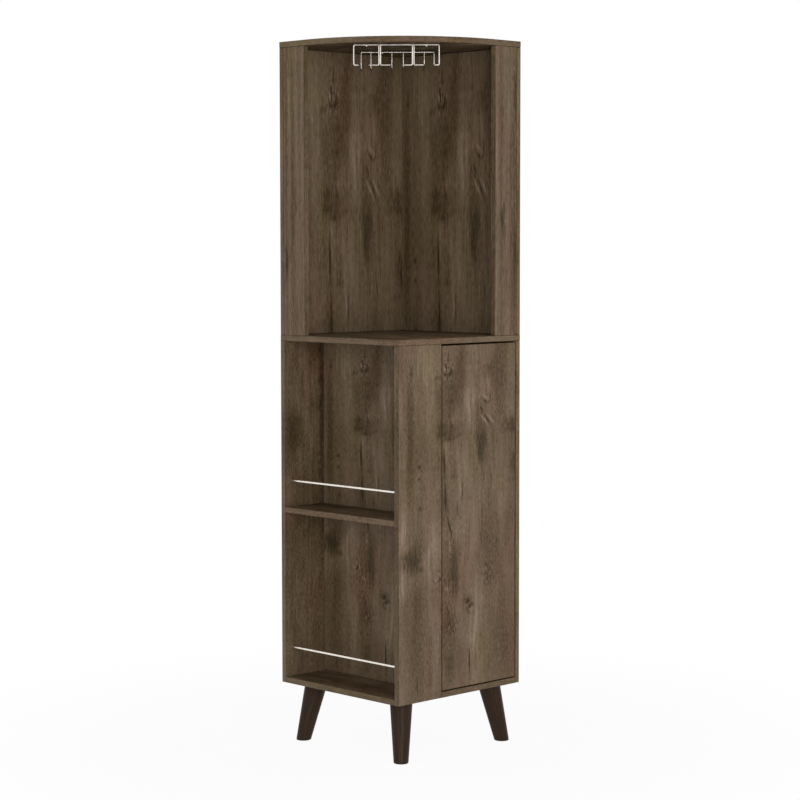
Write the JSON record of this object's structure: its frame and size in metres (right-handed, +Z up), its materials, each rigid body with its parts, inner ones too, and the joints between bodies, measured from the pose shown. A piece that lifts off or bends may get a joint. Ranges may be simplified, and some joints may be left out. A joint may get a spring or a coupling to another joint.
{
  "type": "corner bar cabinet",
  "caption": "Tall square-plan corner bar cabinet on splayed legs: open niche with a wire glass rack above, bottle bays with rails and a flush hinged door below.",
  "frame": {"origin": "on the floor under the middle of the square plan", "axes": "+Z up, -Y towards the door face, -X towards the open bottle bays, +X and +Y towards the walls"},
  "size_m": [0.435, 0.435, 1.8],
  "materials": {
    "wood_decor": "matt grey-brown rustic oak decor, faintly embossed",
    "leg_wood": "dark espresso satin",
    "chrome_wire": "bright chrome",
    "nickel_steel": "nickel plated",
    "zinc_steel": "zinc plated",
    "latch_body": "moulded, fine grain",
    "latch_tip": "soft matt",
    "beech": "plain turned beech"
  },
  "bodies": {
    "cabinet": {"bay_shelf": "wood_decor", "bottom_panel": "wood_decor", "cam_bolts": "zinc_steel", "cam_locks": "zinc_steel", "counter_panel": "wood_decor", "divider_panel": "wood_decor", "dowels": "beech", "fixed_front_panel": "wood_decor", "hinge_arm_lower": "nickel_steel", "hinge_arm_screws": "zinc_steel", "hinge_arm_upper": "nickel_steel", "hinge_plate_lower": "nickel_steel", "hinge_plate_screws": "zinc_steel", "hinge_plate_upper": "nickel_steel", "inner_shelf": "wood_decor", "latch_housing": "latch_body", "latch_screws": "zinc_steel", "left_stile": "wood_decor", "leg_back_left": "leg_wood", "leg_back_right": "leg_wood", "leg_bolts": "zinc_steel", "leg_front_left": "leg_wood", "leg_front_right": "leg_wood", "leg_plate_back_left": "zinc_steel", "leg_plate_back_right": "zinc_steel", "leg_plate_front_left": "zinc_steel", "leg_plate_front_right": "zinc_steel", "leg_plate_screws": "zinc_steel", "lower_back_panel": "wood_decor", "lower_rail": "chrome_wire", "lower_side_panel": "wood_decor", "rack_left_pair_left_wire": "chrome_wire", "rack_left_pair_right_wire": "chrome_wire", "rack_outer_wire": "chrome_wire", "rack_right_pair_left_wire": "chrome_wire", "rack_right_pair_right_wire": "chrome_wire", "rack_screws": "zinc_steel", "right_stile": "wood_decor", "shelf_pins": "nickel_steel", "top_panel": "wood_decor", "upper_back_panel": "wood_decor", "upper_rail": "chrome_wire", "upper_side_panel": "wood_decor"},
    "door": {"door_panel": "wood_decor", "hinge_cup_lower": "nickel_steel", "hinge_cup_screws": "zinc_steel", "hinge_cup_upper": "nickel_steel", "hinge_pin_lower": "nickel_steel", "hinge_pin_upper": "nickel_steel", "latch_strike": "nickel_steel"},
    "plunger": {"latch_plunger": "latch_tip"}
  },
  "joints": [
    {"name": "door_hinge", "type": "hinge", "parent": "cabinet", "child": "door", "pos_m": [0.17674, -0.2075, 0.6], "axis": [0, 0, 1], "range_deg": [0, 95]},
    {"name": "latch_push", "type": "slide", "parent": "cabinet", "child": "plunger", "axis": [0, 1, 0], "range_m": [0, 0.003], "stiffness_N_per_m": 400}
  ]
}
